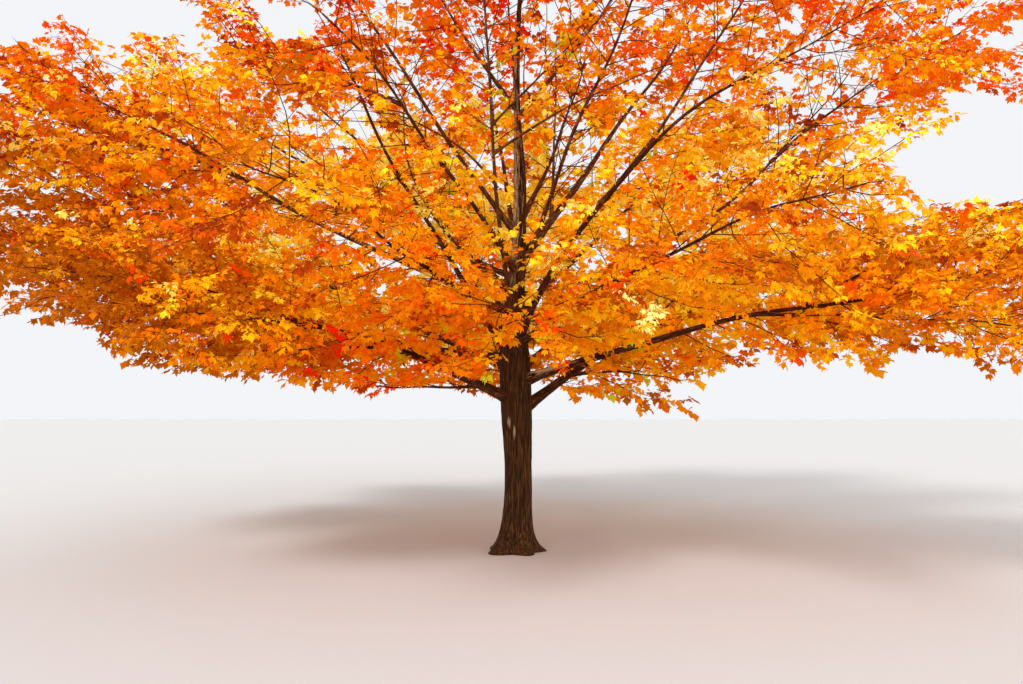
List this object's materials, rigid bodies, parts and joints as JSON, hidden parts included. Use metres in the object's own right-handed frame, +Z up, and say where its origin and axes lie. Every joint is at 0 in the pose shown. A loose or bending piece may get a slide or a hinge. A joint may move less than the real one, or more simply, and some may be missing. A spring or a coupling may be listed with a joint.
{
  "type": "autumn maple tree",
  "caption": "Open-grown maple tree in autumn leaf: short flared trunk, boughs fanning out from a low fork, and a broad rounded crown of orange, red and gold foliage.",
  "frame": {"origin": "centre of the flat cut under the trunk, at ground level", "axes": "+Z straight up; +X to the right and -Y towards the viewer in the picture's view; -Z is the ground mount's axis"},
  "size_m": [11.7384, 10.3507, 9.235],
  "materials": {
    "trunk_bark": "rough furrowed dark bark",
    "limb_bark": "rough bark, greyer than the trunk",
    "orange_leaves": "matt to satin autumn leaves",
    "red_leaves": "matt to satin autumn leaves",
    "gold_leaves": "matt to satin autumn leaves"
  },
  "bodies": {
    "root": {"trunk": "trunk_bark", "bough_low_right": "limb_bark", "bough_low_right_back": "limb_bark", "bough_low_back_right": "limb_bark", "bough_low_back": "limb_bark", "bough_low_back_left": "limb_bark", "bough_low_left": "limb_bark", "bough_low_left_front": "limb_bark", "bough_low_front_left": "limb_bark", "bough_low_front_right": "limb_bark", "bough_mid_right": "limb_bark", "bough_out_right": "limb_bark", "bough_mid_back_right": "limb_bark", "bough_mid_back": "limb_bark", "bough_mid_back_left": "limb_bark", "bough_mid_left": "limb_bark", "bough_mid_left_back": "limb_bark", "bough_mid_front_left": "limb_bark", "bough_mid_front_right": "limb_bark", "bough_up_left": "limb_bark", "bough_up_right": "limb_bark", "bough_up_back": "limb_bark", "bough_front_up": "limb_bark", "bough_leader_left": "limb_bark", "bough_leader_right": "limb_bark", "bough_up_front_left": "limb_bark", "bough_top_right": "limb_bark", "bough_top_back": "limb_bark", "bough_top_left": "limb_bark", "bough_mid_right_fork": "limb_bark", "foliage_low_right": "orange_leaves", "foliage_low_right_back": "gold_leaves", "foliage_low_back_right": "orange_leaves", "foliage_low_back": "gold_leaves", "foliage_low_back_left": "orange_leaves", "foliage_low_left": "orange_leaves", "foliage_low_left_front": "orange_leaves", "foliage_low_front_left": "orange_leaves", "foliage_low_front_right": "orange_leaves", "foliage_mid_right": "orange_leaves", "foliage_out_right": "gold_leaves", "foliage_mid_back_right": "gold_leaves", "foliage_mid_back": "gold_leaves", "foliage_mid_back_left": "gold_leaves", "foliage_mid_left": "red_leaves", "foliage_mid_left_back": "orange_leaves", "foliage_mid_front_left": "red_leaves", "foliage_mid_front_right": "orange_leaves", "foliage_up_left": "red_leaves", "foliage_up_right": "orange_leaves", "foliage_up_back": "gold_leaves", "foliage_front_up": "red_leaves", "foliage_leader_left": "orange_leaves", "foliage_leader_right": "orange_leaves", "foliage_up_front_left": "red_leaves", "foliage_top_right": "red_leaves", "foliage_top_back": "orange_leaves", "foliage_top_left": "red_leaves", "foliage_crown_top": "red_leaves", "foliage_mid_right_fork": "orange_leaves"}
  },
  "joints": []
}
